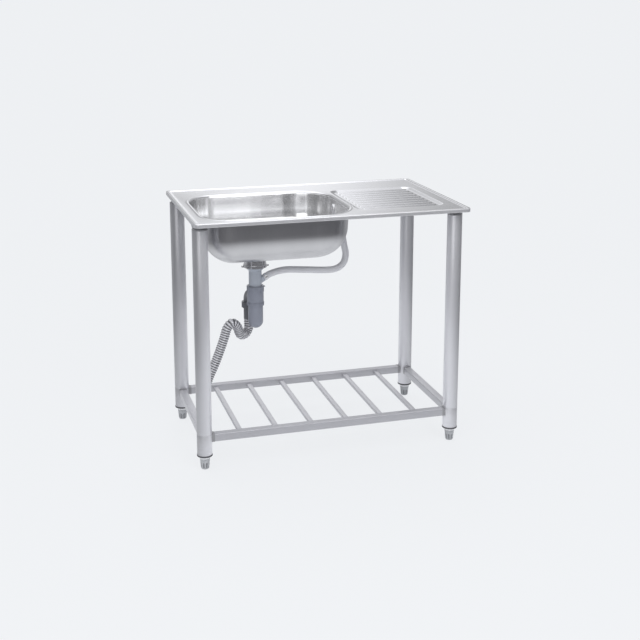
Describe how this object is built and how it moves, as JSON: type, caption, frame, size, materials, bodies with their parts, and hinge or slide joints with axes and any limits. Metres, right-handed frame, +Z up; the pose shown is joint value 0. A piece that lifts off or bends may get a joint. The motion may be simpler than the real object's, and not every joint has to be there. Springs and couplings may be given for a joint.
{
  "type": "kitchen sink unit",
  "caption": "Free-standing stainless steel kitchen sink unit with one bowl, a ribbed drainer, round legs, a slatted lower shelf, a bottle trap and drain hoses.",
  "frame": {"origin": "on the floor under the middle of the top", "axes": "+Z up, +X from the bowl towards the drainer, +Y from the front towards the back"},
  "size_m": [0.88, 0.57, 0.8],
  "materials": {
    "bright_steel": "pressed stainless sheet with a fine satin polish",
    "frame_steel": "satin steel tube",
    "dark_fittings": "dark moulded fittings",
    "pale_plastic": "pale moulded plastic",
    "foot_plastic": "grey moulded plastic with a steel screw inside",
    "seal_rubber": "matt rubber",
    "chrome_parts": "polished",
    "hose_plastic": "light grey flexible plastic",
    "trap_plastic": "blue-grey moulded plastic"
  },
  "bodies": {
    "frame": {"sink_deck": "bright_steel", "sink_bowl": "bright_steel", "socket_front_left": "dark_fittings", "socket_front_right": "dark_fittings", "socket_back_left": "dark_fittings", "socket_back_right": "dark_fittings", "stud_nuts": "chrome_parts", "leg_front_left": "frame_steel", "leg_front_right": "frame_steel", "leg_back_left": "frame_steel", "leg_back_right": "frame_steel", "sleeve_front_left": "frame_steel", "sleeve_front_right": "frame_steel", "sleeve_back_left": "frame_steel", "sleeve_back_right": "frame_steel", "insert_front_left": "pale_plastic", "insert_front_right": "pale_plastic", "insert_back_left": "pale_plastic", "insert_back_right": "pale_plastic", "rail_front": "frame_steel", "rail_back": "frame_steel", "rail_left": "frame_steel", "rail_right": "frame_steel", "rail_saddles": "dark_fittings", "slat_1": "frame_steel", "slat_2": "frame_steel", "slat_3": "frame_steel", "slat_4": "frame_steel", "slat_5": "frame_steel", "slat_6": "frame_steel", "waste_cup": "chrome_parts", "waste_seal": "seal_rubber", "waste_lock_ring": "trap_plastic", "waste_clamp": "chrome_parts", "overflow_cover": "chrome_parts", "overflow_seal": "seal_rubber", "overflow_elbow": "trap_plastic", "overflow_screw": "chrome_parts", "overflow_hose": "hose_plastic", "hose_clips": "chrome_parts", "tailpiece": "trap_plastic", "tail_nut": "trap_plastic", "trap_head": "trap_plastic", "trap_seal": "seal_rubber", "outlet_bend": "trap_plastic", "outlet_nut": "trap_plastic", "outlet_pipe": "trap_plastic", "drain_hose": "hose_plastic", "hose_end_cuff": "seal_rubber"},
    "foot_front_left": {"foot_front_left": "foot_plastic"},
    "foot_front_right": {"foot_front_right": "foot_plastic"},
    "foot_back_left": {"foot_back_left": "foot_plastic"},
    "foot_back_right": {"foot_back_right": "foot_plastic"},
    "basket": {"strainer_basket": "chrome_parts"},
    "cup": {"trap_cup": "trap_plastic", "cup_nut": "trap_plastic"}
  },
  "joints": [
    {"name": "foot_front_left_screw", "type": "slide", "parent": "frame", "child": "foot_front_left", "axis": [0, 0, -1], "range_m": [0, 0.02]},
    {"name": "foot_front_right_screw", "type": "slide", "parent": "frame", "child": "foot_front_right", "axis": [0, 0, -1], "range_m": [0, 0.02]},
    {"name": "foot_back_left_screw", "type": "slide", "parent": "frame", "child": "foot_back_left", "axis": [0, 0, -1], "range_m": [0, 0.02]},
    {"name": "foot_back_right_screw", "type": "slide", "parent": "frame", "child": "foot_back_right", "axis": [0, 0, -1], "range_m": [0, 0.02]},
    {"name": "basket_lift", "type": "slide", "parent": "frame", "child": "basket", "axis": [0, 0, 1], "range_m": [0, 0.12]},
    {"name": "cup_release", "type": "slide", "parent": "frame", "child": "cup", "axis": [0, 0, -1], "range_m": [0, 0.1]}
  ]
}
